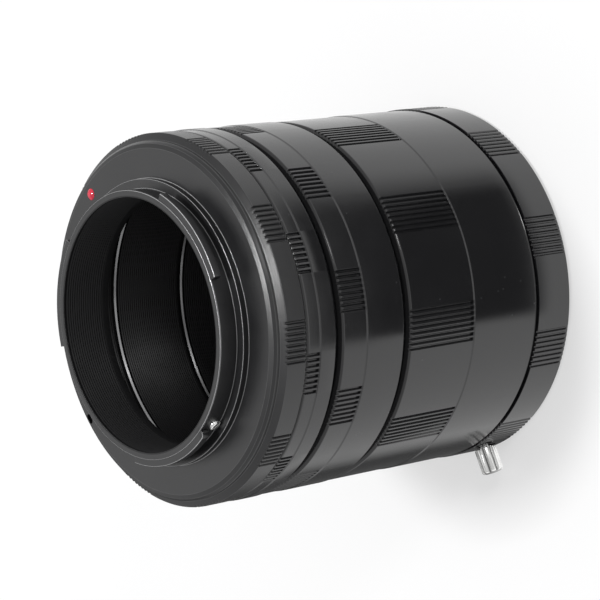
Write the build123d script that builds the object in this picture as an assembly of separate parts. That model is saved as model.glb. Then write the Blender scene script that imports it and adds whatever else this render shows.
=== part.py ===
from build123d import *
import os
from math import cos, radians, sin

# A stack of three screw-together macro extension tubes between a camera mount and a lens mount.
# Units are millimetres. The origin is on the optical axis, in the plane the lens seats on.
# +Z runs up the optical axis towards the camera, and +X passes through the camera index bead.

# Lengths of the three tubes along the optical axis
tube_7_length = 7.0
tube_14_length = 14.0
tube_28_length = 28.0

# Camera bayonet: a barrel with three lugs, which stands on a register step
barrel_radius = 21.4
barrel_wall = 1.1
barrel_height = 4.35
rim_bevel = 0.12
lug_height = 1.1
lug_thickness = 1.45
lug_spans_deg = [(15.0, 63.0), (132.4, 184.6), (252.9, 299.4)]
lug_end_rounds = [0.0, 0.8, 0.0]
register_step = 1.55
register_height = 1.1
inner_sleeve_wall = 1.4
inner_sleeve_gap = 0.95

# Camera flange: a flat land with a double bevel, a straight edge and a flare out to the grip band
flange_land = 4.75
flange_shallow_bevel = (0.72, 0.28)
flange_steep_bevel = (0.38, 0.47)
flange_edge_length = 0.5
flare_length = 0.62
flare_rise = 1.2
camera_web = 2.3

# Walls and steps of the rings
tube_overhang = 0.1
lens_ring_overhang = 0.2
tube_wall = 4.6

# Screw joints between the rings: a spigot on the camera side of each ring, a socket on the lens side
spigot_wall = 1.65
thread_clearance = 0.05
spigot_length = 2.95
socket_relief = 0.3
spigot_chamfer = 0.3

# Edges of the rings, as radial and axial legs
front_bevel = (1.3, 0.6)
rear_bevel = (1.3, 1.45)
fine_bevel = (0.2, 0.2)
lens_face_bevel = (0.4, 0.4)

# Grip bands: groups of axial grooves with plain lengths between them
grip_groups = 10
grooves_per_group = 8
groove_pitch_deg = 1.66
groove_mouth = 0.56
groove_floor = 0.16
groove_depth = 0.36
band_step = 0.12
tube_7_band = 2.55
tube_14_band = 5.0
tube_28_band = 13.85
tube_7_band_lead = 0.6
camera_grip_turn = 11.2
tube_7_grip_turn = 0.9
tube_14_grip_turn = 23.9
tube_28_grip_turn = 9.1
lens_grip_turn = 32.1

# Index bead and lock slot in the flange face, set in from the flange's edge
bead_radius = 0.95
bead_inset = 1.65
bead_stem = 1.0
bead_dome = 0.4
bead_clearance = 0.02
lock_inset = 0.3
lock_slot_turn = 90.0
lock_slot_radial = 1.1
lock_slot_tangential = 1.75
lock_slot_floor = 0.7

# Stop screw in the wall of the bayonet barrel
stop_turn = 187.4
stop_gap = 0.03
stop_head_radius = 0.95
stop_head_thickness = 0.62
stop_shank_radius = 0.65
stop_slot_width = 0.32
stop_slot_depth = 0.3
stop_slot_turn = 40.0
screw_clearance = 0.02

# Lens side: bayonet plate let into the back of the lens ring
ring_set_back = 0.15
plate_inset = 1.4
plate_clearance = 0.05
plate_thickness = 1.6
seat_clearance = 0.15
seat_bore_depth = 1.2
plate_lug_thickness = 1.3
lug_pass_clearance = 0.3
plate_lug_clearance = 0.15
plate_lug_spans_deg = [(-34.6, 15.4), (88.8, 138.8), (209.4, 259.4)]
spring_pocket_height = 2.25
pocket_step = 0.7
baffle_step = 0.6
baffle_thickness = 1.1

# Leaf springs behind the lens bayonet lugs
leaf_turns = [-9.6, 113.8, 234.4]
leaf_inset = 0.5
leaf_edge_clearance = 0.15
leaf_foot_clearance = 0.1
leaf_thickness = 0.2
leaf_play = 0.05
leaf_bow = 0.35
leaf_half_length = 7.6
leaf_foot_length = 2.0
leaf_ramp_length = 1.8

# Screws that hold the bayonet plate
plate_screw_turns = [29.4, 119.4, 209.4, 299.4]
plate_screw_inset = 2.3
plate_screw_hub_gap = 1.6
plate_screw_head_radius = 1.35
plate_screw_head_height = 0.6
plate_screw_sink = 0.06
plate_screw_shank_radius = 0.75
plate_screw_length = 4.6
plate_screw_end_gap = 0.3
cross_width = 0.3
cross_length = 1.4
cross_depth = 0.35

# Lens lock: a sprung pin in the lens ring, worked by a fluted post that stands out of its side
lock_turn = 164.4
pin_tip_radius = 0.5
pin_body_radius = 1.3
pin_body_length = 2.5
pin_reach = 1.5
pin_retract = 0.5
pin_clearance = 0.05
spring_room = 1.7
lock_roof = 0.6
post_shank_radius = 0.85
post_slot_clearance = 0.1
post_head_radius = 1.75
post_head_gap = 0.3
post_stand_out = 4.7
post_tip_bevel = 0.35
flute_count = 8
flute_radius = 0.42
flute_offset = 0.1
spring_wire = 0.22
spring_coil_radius = 0.95
spring_turns = 3.0
spring_end_gap = 0.02

# Lens index bead in the side of the lens ring
lens_index_turn = 129.0
lens_index_height = 3.4

# Radii worked out from the camera bayonet outwards
camera_bore_radius = barrel_radius - barrel_wall
inner_sleeve_radius = camera_bore_radius + inner_sleeve_wall
lug_radius = barrel_radius + lug_height
register_radius = barrel_radius + register_step
flange_radius = register_radius + flange_land
bead_ring_radius = flange_radius - bead_inset
lock_ring_radius = flange_radius - lock_inset
edge_radius = flange_radius + flange_shallow_bevel[0] + flange_steep_bevel[0]
camera_band_radius = edge_radius + flare_rise
tube_radius = camera_band_radius + tube_overhang
band_radius = tube_radius - band_step
lens_ring_radius = tube_radius + lens_ring_overhang
bore_radius = tube_radius - tube_wall
spigot_radius = bore_radius + spigot_wall
socket_radius = spigot_radius + thread_clearance

# Radii worked out from the lens ring inwards
plate_radius = lens_ring_radius - plate_inset
plate_screw_ring_radius = plate_radius - plate_screw_inset
plate_hub_radius = plate_screw_ring_radius - plate_screw_hub_gap
seat_bore_radius = register_radius + seat_clearance
plate_throat_radius = lug_radius + lug_pass_clearance
plate_lug_radius = barrel_radius + plate_lug_clearance
pocket_radius = plate_hub_radius - pocket_step
baffle_radius = plate_throat_radius - baffle_step
leaf_inner_radius = plate_throat_radius - leaf_inset
leaf_outer_radius = pocket_radius - leaf_edge_clearance
leaf_foot_radius = plate_hub_radius - leaf_foot_clearance
post_tip_radius_from_axis = lens_ring_radius + post_stand_out

# Levels worked out from the lens seat upwards
plate_hub_top = seat_bore_depth + plate_lug_thickness
baffle_low = plate_hub_top + spring_pocket_height
baffle_top = baffle_low + baffle_thickness
ring_ledge = plate_hub_top + leaf_thickness + leaf_play
shoulder_at_rest = plate_thickness + pin_reach + pin_clearance
pin_top = shoulder_at_rest + pin_body_length
post_height = shoulder_at_rest + pin_body_length / 2
lock_hole_top = pin_top + spring_room
lens_ring_height = lock_hole_top + lock_roof
socket_depth = spigot_length + socket_relief
camera_ring_length = socket_depth + camera_web
z_tube_28 = lens_ring_height
z_tube_14 = z_tube_28 + tube_28_length
z_tube_7 = z_tube_14 + tube_14_length
z_camera_ring = z_tube_7 + tube_7_length
z_flange = z_camera_ring + camera_ring_length
z_rim = z_flange + barrel_height
lock_slot_depth = camera_web - lock_slot_floor
stop_height = register_height + stop_head_radius + stop_gap

os.makedirs("parts", exist_ok=True)


def turned(points):
    """Revolve an outline of (radius, height) points about the optical axis."""
    outline = Polyline(*[(r, 0, z) for r, z in points], close=True)
    return revolve(make_face(outline), Axis.Z)


def sector(inner, outer, low, high, start, end):
    """Annular sector between two radii, two heights and two angles."""
    ring = Pos(0, 0, low) * (Cylinder(outer, high - low, align=(Align.CENTER, Align.CENTER, Align.MIN))
                             - Cylinder(inner, high - low, align=(Align.CENTER, Align.CENTER, Align.MIN)))
    middle = radians((start + end) / 2)
    reach = 2 * outer
    corners = [(0, 0)]
    for turn in (radians(start), middle, radians(end)):
        corners.append((reach * cos(turn), reach * sin(turn)))
    wedge = Pos(0, 0, low) * extrude(make_face(Polyline(*corners, close=True)), high - low)
    return ring & wedge


def standing_rod(radius, low, high, ring_radius, turn):
    """Upright round rod at a radius and an angle about the optical axis."""
    rod = Cylinder(radius, high - low, align=(Align.CENTER, Align.CENTER, Align.MIN))
    return Rot(0, 0, turn) * Pos(ring_radius, 0, low) * rod


def radial_rod(radius, inner, outer, height, turn):
    """Round rod that points away from the optical axis."""
    rod = Cylinder(radius, outer - inner, align=(Align.CENTER, Align.CENTER, Align.MIN))
    return Rot(0, 0, turn) * Pos(inner, 0, height) * Rot(0, 90, 0) * rod


def domed_bead(radius, stem, dome):
    """Round stem with a domed head, its rim at the origin and its head along +Z."""
    ball_radius = (radius ** 2 + dome ** 2) / (2 * dome)
    ball = Pos(0, 0, dome - ball_radius) * Sphere(ball_radius)
    cap = ball & Cylinder(radius, dome, align=(Align.CENTER, Align.CENTER, Align.MIN))
    return Cylinder(radius, stem, align=(Align.CENTER, Align.CENTER, Align.MAX)) + cap


def grip_grooves(surface, low, high, turn):
    """Axial grooves in evenly spaced groups round a band."""
    lift = groove_depth / 2
    widen = (groove_mouth - groove_floor) / 2 * (lift / groove_depth)
    mouth = groove_mouth / 2 + widen
    outline = Polyline(
        (surface - groove_depth, -groove_floor / 2),
        (surface + lift, -mouth),
        (surface + lift, mouth),
        (surface - groove_depth, groove_floor / 2),
        close=True,
    )
    groove = Pos(0, 0, low) * extrude(make_face(outline), high - low)
    cutters = []
    for group in range(grip_groups):
        centre = turn + group * 360 / grip_groups
        for index in range(grooves_per_group):
            step = index - (grooves_per_group - 1) / 2
            cutters.append(Rot(0, 0, centre + step * groove_pitch_deg) * groove)
    return cutters


def extension_tube(low, length, front, rear, band, band_lead, grip_turn):
    """One tube: socket below, spigot above, grip band next to its camera end."""
    top = low + length
    socket_top = low + socket_depth
    spigot_top = top + spigot_length
    band_low = top - band
    body = turned([
        (socket_radius, low),
        (socket_radius, socket_top),
        (bore_radius, socket_top),
        (bore_radius, spigot_top),
        (spigot_radius - spigot_chamfer, spigot_top),
        (spigot_radius, spigot_top - spigot_chamfer),
        (spigot_radius, top),
        (band_radius - front[0], top),
        (band_radius, top - front[1]),
        (band_radius, band_low),
        (tube_radius, band_low - band_step),
        (tube_radius, low + rear[1]),
        (tube_radius - rear[0], low),
    ])
    groove_top = top - band_lead if band_lead else top + front[1]
    return body - grip_grooves(band_radius, band_low, groove_top, grip_turn)


def camera_mount():
    """Flange ring and male bayonet, turned and milled from one blank."""
    low = z_camera_ring
    socket_top = low + socket_depth
    sleeve_low = low + inner_sleeve_gap
    register_top = z_flange + register_height
    shallow_low = z_flange - flange_shallow_bevel[1]
    steep_low = shallow_low - flange_steep_bevel[1]
    flare_top = steep_low - flange_edge_length
    band_top = flare_top - flare_length
    body = turned([
        (socket_radius, low),
        (socket_radius, socket_top),
        (inner_sleeve_radius, socket_top),
        (inner_sleeve_radius, sleeve_low),
        (camera_bore_radius, sleeve_low),
        (camera_bore_radius, z_rim - rim_bevel),
        (camera_bore_radius + rim_bevel, z_rim),
        (barrel_radius - rim_bevel, z_rim),
        (barrel_radius, z_rim - rim_bevel),
        (barrel_radius, register_top),
        (register_radius, register_top),
        (register_radius, z_flange),
        (flange_radius, z_flange),
        (flange_radius + flange_shallow_bevel[0], shallow_low),
        (edge_radius, steep_low),
        (edge_radius, flare_top),
        (camera_band_radius, band_top),
        (camera_band_radius, low + fine_bevel[1]),
        (camera_band_radius - fine_bevel[0], low),
    ])
    body = body - grip_grooves(camera_band_radius, low - fine_bevel[1], flare_top, camera_grip_turn)
    root = (camera_bore_radius + barrel_radius) / 2
    for (start, end), rounding in zip(lug_spans_deg, lug_end_rounds):
        lug = sector(root, lug_radius, z_rim - lug_thickness, z_rim, start, end)
        if rounding:
            corner = (lug_radius * cos(radians(end)), lug_radius * sin(radians(end)), z_rim)
            lug = fillet(lug.edges().filter_by(Axis.Z).sort_by_distance(corner)[0], rounding)
        body = body + lug
    bead_seat = Pos(bead_ring_radius, 0, z_flange) * Cylinder(
        bead_radius + bead_clearance, bead_stem + bead_clearance, align=(Align.CENTER, Align.CENTER, Align.MAX))
    half_run = (lock_slot_tangential - lock_slot_radial) / 2
    slot = Pos(0, 0, z_flange - lock_slot_depth) * extrude(
        SlotCenterToCenter(2 * half_run, lock_slot_radial), lock_slot_depth)
    lock_slot = Rot(0, 0, lock_slot_turn) * Pos(lock_ring_radius, 0, 0) * Rot(0, 0, 90) * slot
    stop_hole = radial_rod(stop_shank_radius + screw_clearance, camera_bore_radius - screw_clearance,
                           lug_radius, z_flange + stop_height, stop_turn)
    return body - bead_seat - lock_slot - stop_hole


def stop_screw():
    """Slotted screw whose head stops the turn of the bayonet."""
    height = z_flange + stop_height
    head_top = barrel_radius + stop_head_thickness
    head = radial_rod(stop_head_radius, barrel_radius, head_top, height, stop_turn)
    shank = radial_rod(stop_shank_radius, camera_bore_radius, head_top - stop_slot_depth, height, stop_turn)
    inside = turned([(camera_bore_radius, z_flange), (2 * barrel_radius, z_flange),
                     (2 * barrel_radius, z_rim), (camera_bore_radius, z_rim)])
    around_barrel = turned([(0, z_flange), (barrel_radius, z_flange), (barrel_radius, z_rim), (0, z_rim)])
    flat_foot = radial_rod(stop_head_radius, barrel_radius - stop_head_thickness, barrel_radius, height, stop_turn)
    foot = (flat_foot - around_barrel)
    slot = Rot(0, 0, stop_turn) * Pos(head_top, 0, height) * Rot(stop_slot_turn, 0, 0) * Box(
        2 * stop_slot_depth, 3 * stop_head_radius, stop_slot_width)
    return (head + foot + (shank & inside)) - slot


def lens_ring():
    """Knurled ring that carries the bayonet plate and the lens lock."""
    low = ring_set_back
    top = lens_ring_height
    spigot_top = top + spigot_length
    recess = plate_radius + plate_clearance
    hub_bore = plate_hub_radius + plate_clearance
    body = turned([
        (recess, low),
        (recess, plate_thickness),
        (hub_bore, plate_thickness),
        (hub_bore, ring_ledge),
        (pocket_radius, ring_ledge),
        (pocket_radius, baffle_low),
        (baffle_radius, baffle_low),
        (baffle_radius, baffle_top),
        (bore_radius, baffle_top),
        (bore_radius, spigot_top),
        (spigot_radius - spigot_chamfer, spigot_top),
        (spigot_radius, spigot_top - spigot_chamfer),
        (spigot_radius, top),
        (lens_ring_radius - fine_bevel[0], top),
        (lens_ring_radius, top - fine_bevel[1]),
        (lens_ring_radius, low + lens_face_bevel[1]),
        (lens_ring_radius - lens_face_bevel[0], low),
    ])
    body = body - grip_grooves(lens_ring_radius, low - groove_depth, top + groove_depth, lens_grip_turn)
    for turn in plate_screw_turns:
        body = body - standing_rod(plate_screw_shank_radius + screw_clearance, plate_thickness,
                                   plate_screw_sink + plate_screw_length + plate_screw_end_gap,
                                   plate_screw_ring_radius, turn)
    body = body - standing_rod(pin_body_radius + pin_clearance, plate_thickness, lock_hole_top,
                               lock_ring_radius, lock_turn)
    slot_half = post_shank_radius + post_slot_clearance
    slot_low = post_height - pin_reach
    slot_high = post_height + pin_retract
    slot = extrude(SlotCenterToCenter(slot_high - slot_low, 2 * slot_half), lens_ring_radius)
    post_slot = Rot(0, 0, lock_turn) * Pos(lock_ring_radius, 0, (slot_low + slot_high) / 2) * Rot(0, 90, 0) * slot
    bead_seat = radial_rod(bead_radius + bead_clearance, lens_ring_radius - bead_stem - bead_clearance,
                           lens_ring_radius + bead_dome, lens_index_height, lens_index_turn)
    return body - post_slot - bead_seat


def bayonet_plate():
    """Female three-lug bayonet plate with countersunk holes and the lock pin's hole."""
    body = turned([
        (seat_bore_radius, 0),
        (seat_bore_radius, seat_bore_depth),
        (plate_throat_radius, seat_bore_depth),
        (plate_throat_radius, plate_hub_top),
        (plate_hub_radius, plate_hub_top),
        (plate_hub_radius, plate_thickness),
        (plate_radius, plate_thickness),
        (plate_radius, fine_bevel[1]),
        (plate_radius - fine_bevel[0], 0),
    ])
    root = (plate_throat_radius + plate_hub_radius) / 2
    for start, end in plate_lug_spans_deg:
        body = body + sector(plate_lug_radius, root, seat_bore_depth, plate_hub_top, start, end)
    sink_radius = plate_screw_head_radius + screw_clearance
    hole_radius = plate_screw_shank_radius + screw_clearance
    sink_floor = plate_screw_sink + plate_screw_head_height
    countersink = turned([(0, 0), (sink_radius, 0), (sink_radius, plate_screw_sink),
                          (hole_radius, sink_floor), (hole_radius, plate_thickness), (0, plate_thickness)])
    for turn in plate_screw_turns:
        body = body - Rot(0, 0, turn) * Pos(plate_screw_ring_radius, 0, 0) * countersink
    return body - standing_rod(pin_tip_radius + pin_clearance, 0, plate_thickness, lock_ring_radius, lock_turn)


def plate_screw(turn):
    """Countersunk cross-recessed screw, its head just under the lens seat."""
    low = plate_screw_sink
    screw = turned([
        (0, low),
        (plate_screw_head_radius, low),
        (plate_screw_shank_radius, low + plate_screw_head_height),
        (plate_screw_shank_radius, low + plate_screw_length),
        (0, low + plate_screw_length),
    ])
    for cross_turn in (45, 135):
        screw = screw - Pos(0, 0, low) * Rot(0, 0, cross_turn) * Box(cross_length, cross_width, 2 * cross_depth)
    return Rot(0, 0, turn) * Pos(plate_screw_ring_radius, 0, 0) * screw


def leaf_spring(turn):
    """Bowed strip behind a bayonet lug, its feet held between the plate and the ring."""
    ramp_start = leaf_half_length - leaf_foot_length
    ramp_end = ramp_start - leaf_ramp_length
    under = [(-leaf_half_length, 0), (-ramp_start, 0), (-ramp_end, leaf_bow),
             (ramp_end, leaf_bow), (ramp_start, 0), (leaf_half_length, 0)]
    over = [(along, up + leaf_thickness) for along, up in reversed(under)]
    outline = Polyline(*[(0, along, plate_hub_top + up) for along, up in under + over], close=True)
    strip = extrude(make_face(outline), leaf_foot_radius, dir=(1, 0, 0))
    height = leaf_bow + leaf_thickness
    ring = Pos(0, 0, plate_hub_top) * (
        Cylinder(leaf_outer_radius, height, align=(Align.CENTER, Align.CENTER, Align.MIN))
        - Cylinder(leaf_inner_radius, height, align=(Align.CENTER, Align.CENTER, Align.MIN)))
    bowed = strip & ring
    foot_ring = Pos(0, 0, plate_hub_top) * (
        Cylinder(leaf_foot_radius, leaf_thickness, align=(Align.CENTER, Align.CENTER, Align.MIN))
        - Cylinder(leaf_inner_radius, leaf_thickness, align=(Align.CENTER, Align.CENTER, Align.MIN)))
    feet = foot_ring & strip
    return Rot(0, 0, turn) * (bowed + feet)


def lock_pin():
    """Stepped pin: narrow tip at the lens seat, wider body tapped for the release post."""
    tip = standing_rod(pin_tip_radius, 0, pin_top, lock_ring_radius, lock_turn)
    body = standing_rod(pin_body_radius, shoulder_at_rest, pin_top, lock_ring_radius, lock_turn)
    tapping = radial_rod(post_shank_radius + screw_clearance, lock_ring_radius,
                         lock_ring_radius + 2 * pin_body_radius, post_height, lock_turn)
    return tip + body - tapping


def release_post():
    """Fluted post screwed into the lock pin."""
    head_inner = lens_ring_radius + post_head_gap
    head_length = post_tip_radius_from_axis - head_inner
    head = Cylinder(post_head_radius, head_length, align=(Align.CENTER, Align.CENTER, Align.MIN))
    head = chamfer(head.edges().group_by(Axis.Z)[-1], post_tip_bevel)
    for index in range(flute_count):
        flute = Pos(post_head_radius + flute_offset, 0, post_head_gap) * Cylinder(
            flute_radius, head_length, align=(Align.CENTER, Align.CENTER, Align.MIN))
        head = head - Rot(0, 0, index * 360 / flute_count) * flute
    shank = Cylinder(post_shank_radius, head_inner - lock_ring_radius - screw_clearance,
                     align=(Align.CENTER, Align.CENTER, Align.MAX))
    return Rot(0, 0, lock_turn) * Pos(head_inner, 0, post_height) * Rot(0, 90, 0) * (head + shank)


def lock_spring():
    """Coil spring between the lock pin and the roof of its hole."""
    low = pin_top + spring_end_gap + spring_wire / 2
    high = lock_hole_top - spring_end_gap - spring_wire / 2
    path = Helix(pitch=(high - low) / spring_turns, height=high - low, radius=spring_coil_radius)
    start = Plane(origin=path @ 0, z_dir=path % 0)
    coil = sweep(start * Circle(spring_wire / 2), path=path, is_frenet=True)
    return Rot(0, 0, lock_turn) * Pos(lock_ring_radius, 0, low) * coil


def camera_index_bead():
    """Red bead that marks the bayonet's turn on the camera flange."""
    return Pos(bead_ring_radius, 0, z_flange) * domed_bead(bead_radius, bead_stem, bead_dome)


def lens_index_bead():
    """Red bead in the side of the lens ring."""
    bead = domed_bead(bead_radius, bead_stem, bead_dome)
    return Rot(0, 0, lens_index_turn) * Pos(lens_ring_radius, 0, lens_index_height) * Rot(0, 90, 0) * bead


parts = {
    "camera_mount": camera_mount(),
    "camera_index_bead": camera_index_bead(),
    "stop_screw": stop_screw(),
    "tube_7": extension_tube(z_tube_7, tube_7_length, fine_bevel, rear_bevel, tube_7_band,
                             tube_7_band_lead, tube_7_grip_turn),
    "tube_14": extension_tube(z_tube_14, tube_14_length, front_bevel, rear_bevel, tube_14_band,
                              0, tube_14_grip_turn),
    "tube_28": extension_tube(z_tube_28, tube_28_length, front_bevel, fine_bevel, tube_28_band,
                              0, tube_28_grip_turn),
    "lens_ring": lens_ring(),
    "bayonet_plate": bayonet_plate(),
    "lock_pin": lock_pin(),
    "release_post": release_post(),
    "lock_spring": lock_spring(),
    "lens_index_bead": lens_index_bead(),
}
for number, turn in enumerate(plate_screw_turns, start=1):
    parts["plate_screw_%d" % number] = plate_screw(turn)
for number, turn in enumerate(leaf_turns, start=1):
    parts["leaf_spring_%d" % number] = leaf_spring(turn)

for name, shape in parts.items():
    export_step(shape, "parts/%s.step" % name)
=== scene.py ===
from math import atan2, cos, hypot, pi, radians, sin, tau

import bmesh
import bpy
from mathutils import Matrix, Vector


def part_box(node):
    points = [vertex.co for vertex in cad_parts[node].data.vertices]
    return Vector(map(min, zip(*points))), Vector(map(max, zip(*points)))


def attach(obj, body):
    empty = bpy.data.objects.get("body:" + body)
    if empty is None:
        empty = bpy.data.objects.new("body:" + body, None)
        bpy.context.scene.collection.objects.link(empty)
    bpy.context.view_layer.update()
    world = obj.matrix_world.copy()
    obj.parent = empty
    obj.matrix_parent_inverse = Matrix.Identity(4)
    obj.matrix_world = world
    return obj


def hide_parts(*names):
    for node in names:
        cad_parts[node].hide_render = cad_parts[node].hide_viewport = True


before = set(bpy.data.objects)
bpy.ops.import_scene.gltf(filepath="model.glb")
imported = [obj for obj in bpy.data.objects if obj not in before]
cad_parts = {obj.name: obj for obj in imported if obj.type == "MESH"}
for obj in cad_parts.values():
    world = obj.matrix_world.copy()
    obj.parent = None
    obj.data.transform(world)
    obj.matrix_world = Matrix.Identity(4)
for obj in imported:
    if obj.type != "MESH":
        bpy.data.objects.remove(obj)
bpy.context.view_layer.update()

bl_info = {
    "name": "Macro extension tube",
    "version": (1, 0, 0),
    "blender": (4, 5, 0),
    "location": "3D View > Sidebar > Extension tube",
    "description": "Dresses a stack of screw-together macro extension tubes",
    "category": "Object",
}


def bottom(node):
    """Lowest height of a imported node."""
    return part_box(node)[0].z


def top(node):
    """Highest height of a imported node."""
    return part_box(node)[1].z


# Levels of the ring shoulders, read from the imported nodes
LENS_FACE = bottom("lens_ring")
TUBE_28_LOW = bottom("tube_28")
TUBE_14_LOW = bottom("tube_14")
TUBE_7_LOW = bottom("tube_7")
CAMERA_LOW = bottom("camera_mount")
RIM = top("camera_mount")


def length(label, text, default):
    """Float property for a size in metres."""
    return bpy.props.FloatProperty(name=label, description=text, default=default,
                                   min=0.0, precision=5, unit="LENGTH")


def turn(label, text, degrees):
    """Float property for an angle."""
    return bpy.props.FloatProperty(name=label, description=text, default=radians(degrees), unit="ROTATION")


def colour(label, text, default):
    """Colour property without alpha."""
    return bpy.props.FloatVectorProperty(name=label, description=text, default=default, size=3,
                                         min=0.0, max=1.0, subtype="COLOR")


def share(label, text, default):
    """Float property from nothing to all."""
    return bpy.props.FloatProperty(name=label, description=text, default=default,
                                   min=0.0, max=1.0, subtype="FACTOR")


def number(label, text, default, least=1):
    """Integer property for a count."""
    return bpy.props.IntProperty(name=label, description=text, default=default, min=least)


class RingSizes(bpy.types.PropertyGroup):
    """Sizes shared by the tubes and the two mount rings"""
    tube_radius: length("Tube radius", "Outside radius of the tubes on their plain length", 0.0301)
    lens_ring_radius: length("Lens ring radius", "Outside radius of the lens-side ring", 0.0303)
    camera_band_radius: length("Camera band radius", "Outside radius of the camera ring's grip band", 0.0300)
    bore_radius: length("Bore radius", "Inside radius of the tubes", 0.0255)
    spigot_radius: length("Spigot radius", "Crest radius of the male thread", 0.02715)
    socket_radius: length("Socket radius", "Crest radius of the female thread", 0.0272)
    spigot_length: length("Spigot length", "How far the male thread stands out", 0.00295)
    socket_depth: length("Socket depth", "Depth of the female thread's recess", 0.00325)
    band_slope: length("Band slope", "Axial length of the slope down to the grip band", 0.00025)
    band_step: length("Band step", "How far the grip band lies below the plain length", 0.00012)
    front_bevel_out: length("Front bevel width", "Radial leg of the long tubes' front bevel", 0.0013)
    front_bevel_along: length("Front bevel length", "Axial leg of the long tubes' front bevel", 0.0006)
    rear_bevel_along: length("Rear bevel length", "Axial leg of the short tubes' rear bevel", 0.00145)
    fine_bevel: length("Fine bevel", "Leg of the small edge bevels", 0.0002)
    joint_depth: length("Joint depth", "Depth of the groove where the lens ring meets the tubes", 0.0007)
    joint_run: length("Joint bevel", "Axial length of each side of that groove", 0.00035)
    front_7_out: length("Tube 7 shoulder width", "Radial leg of the 7 mm tube's front shoulder", 0.0005)
    front_7_along: length("Tube 7 shoulder length", "Axial leg of the 7 mm tube's front shoulder", 0.0006)
    spigot_bevel: length("Spigot bevel", "Radial length of the bevel inside a spigot's tip", 0.00023)
    spigot_run: length("Spigot bevel run", "Axial length of that bevel", 0.0003)
    tip_length: length("Spigot tip", "Plain length inside the end of a spigot", 0.0006)
    edge_softness: length("Edge softness", "Rounding of the turned edges", 0.00006)
    band_7: length("Band of tube 7", "Length of the grip band on the 7 mm tube", 0.00255)
    band_14: length("Band of tube 14", "Length of the grip band on the 14 mm tube", 0.0050)
    band_28: length("Band of tube 28", "Length of the grip band on the 28 mm tube", 0.01385)


class GripSizes(bpy.types.PropertyGroup):
    """Sizes of the axial grip grooves"""
    groups: number("Groups", "Groups of grooves round a ring", 10)
    grooves: number("Grooves", "Grooves in a group", 8)
    pitch: turn("Pitch", "Angle from groove to groove", 1.66)
    mouth: length("Mouth", "Width of a groove at the surface", 0.00056)
    floor: length("Floor", "Width of a groove at its floor", 0.00016)
    depth: length("Depth", "Depth of a groove", 0.00036)
    lip: length("Lip", "Rounding at a groove's mouth", 0.00006)
    camera_turn: turn("Camera ring turn", "Angle of the first group on the camera ring", 11.2)
    tube_7_turn: turn("Tube 7 turn", "Angle of the first group on the 7 mm tube", 0.9)
    tube_14_turn: turn("Tube 14 turn", "Angle of the first group on the 14 mm tube", 23.9)
    tube_28_turn: turn("Tube 28 turn", "Angle of the first group on the 28 mm tube", 9.1)
    lens_turn: turn("Lens ring turn", "Angle of the first group on the lens ring", 32.1)


class InsideSizes(bpy.types.PropertyGroup):
    """Sizes of the light-trap ridges and of the screw threads"""
    ridge_pitch: length("Ridge pitch", "Distance between the light-trap ridges", 0.00043)
    ridge_depth: length("Ridge depth", "Depth of the light-trap ridges", 0.00013)
    thread_pitch: length("Thread pitch", "Advance of the screw threads in one turn", 0.00075)
    thread_depth: length("Thread depth", "Depth of the screw threads", 0.00026)


class BayonetSizes(bpy.types.PropertyGroup):
    """Sizes of the camera flange and its bayonet"""
    flange_height: length("Flange height", "Height of the flange face above the ring's shoulder", 0.00555)
    flange_radius: length("Flange radius", "Outer radius of the flange face", 0.0277)
    shallow_out: length("Shallow bevel width", "Radial leg of the flange's shallow bevel", 0.00072)
    shallow_down: length("Shallow bevel depth", "Axial leg of the flange's shallow bevel", 0.00028)
    steep_out: length("Steep bevel width", "Radial leg of the flange's steep bevel", 0.00038)
    steep_down: length("Steep bevel depth", "Axial leg of the flange's steep bevel", 0.00047)
    edge_length: length("Edge length", "Straight edge under the flange bevels", 0.0005)
    flare_length: length("Flare length", "Axial length of the flare out to the grip band", 0.00062)
    register_radius: length("Register radius", "Radius of the register step", 0.02295)
    register_height: length("Register height", "Height of the register step", 0.0011)
    barrel_radius: length("Barrel radius", "Outer radius of the bayonet barrel", 0.0214)
    bore_radius: length("Camera bore", "Inner radius of the bayonet barrel", 0.0203)
    rim_bevel: length("Rim bevel", "Rounding of the barrel's rim", 0.00012)
    lug_radius: length("Lug radius", "Outer radius of the bayonet lugs", 0.0225)
    rim_step: length("Rim step", "How far the rim stands above the lugs", 0.00012)
    foot_fillet: length("Foot fillet", "Fillet at the foot of the register and of the barrel", 0.00011)
    lug_thickness: length("Lug thickness", "Axial thickness of the bayonet lugs", 0.00145)
    sleeve_radius: length("Sleeve radius", "Outer radius of the inner sleeve", 0.0217)
    sleeve_gap: length("Sleeve gap", "Height of the sleeve's end above the shoulder", 0.00095)
    smooth_length: length("Smooth length", "Length without ridges at the sleeve's end", 0.0011)
    bead_ring: length("Bead ring", "Radius at which the index bead sits", 0.02605)
    bead_radius: length("Bead radius", "Radius of the index beads", 0.00095)
    bead_dome: length("Bead dome", "How far a bead stands proud", 0.0004)
    slot_ring: length("Slot ring", "Radius at which the lock slot sits", 0.0274)
    slot_radial: length("Slot width", "Radial size of the lock slot", 0.0011)
    slot_run: length("Slot length", "Tangential size of the lock slot", 0.00175)
    slot_depth: length("Slot depth", "Depth of the lock slot", 0.0016)
    slot_turn: turn("Slot turn", "Angle of the lock slot", 90.0)
    stop_turn: turn("Stop turn", "Angle of the stop screw", 187.4)
    stop_height: length("Stop height", "Height of the stop screw above the flange", 0.00208)
    stop_radius: length("Stop radius", "Head radius of the stop screw", 0.00095)
    stop_head: length("Stop head", "Head thickness of the stop screw", 0.00062)


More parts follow.
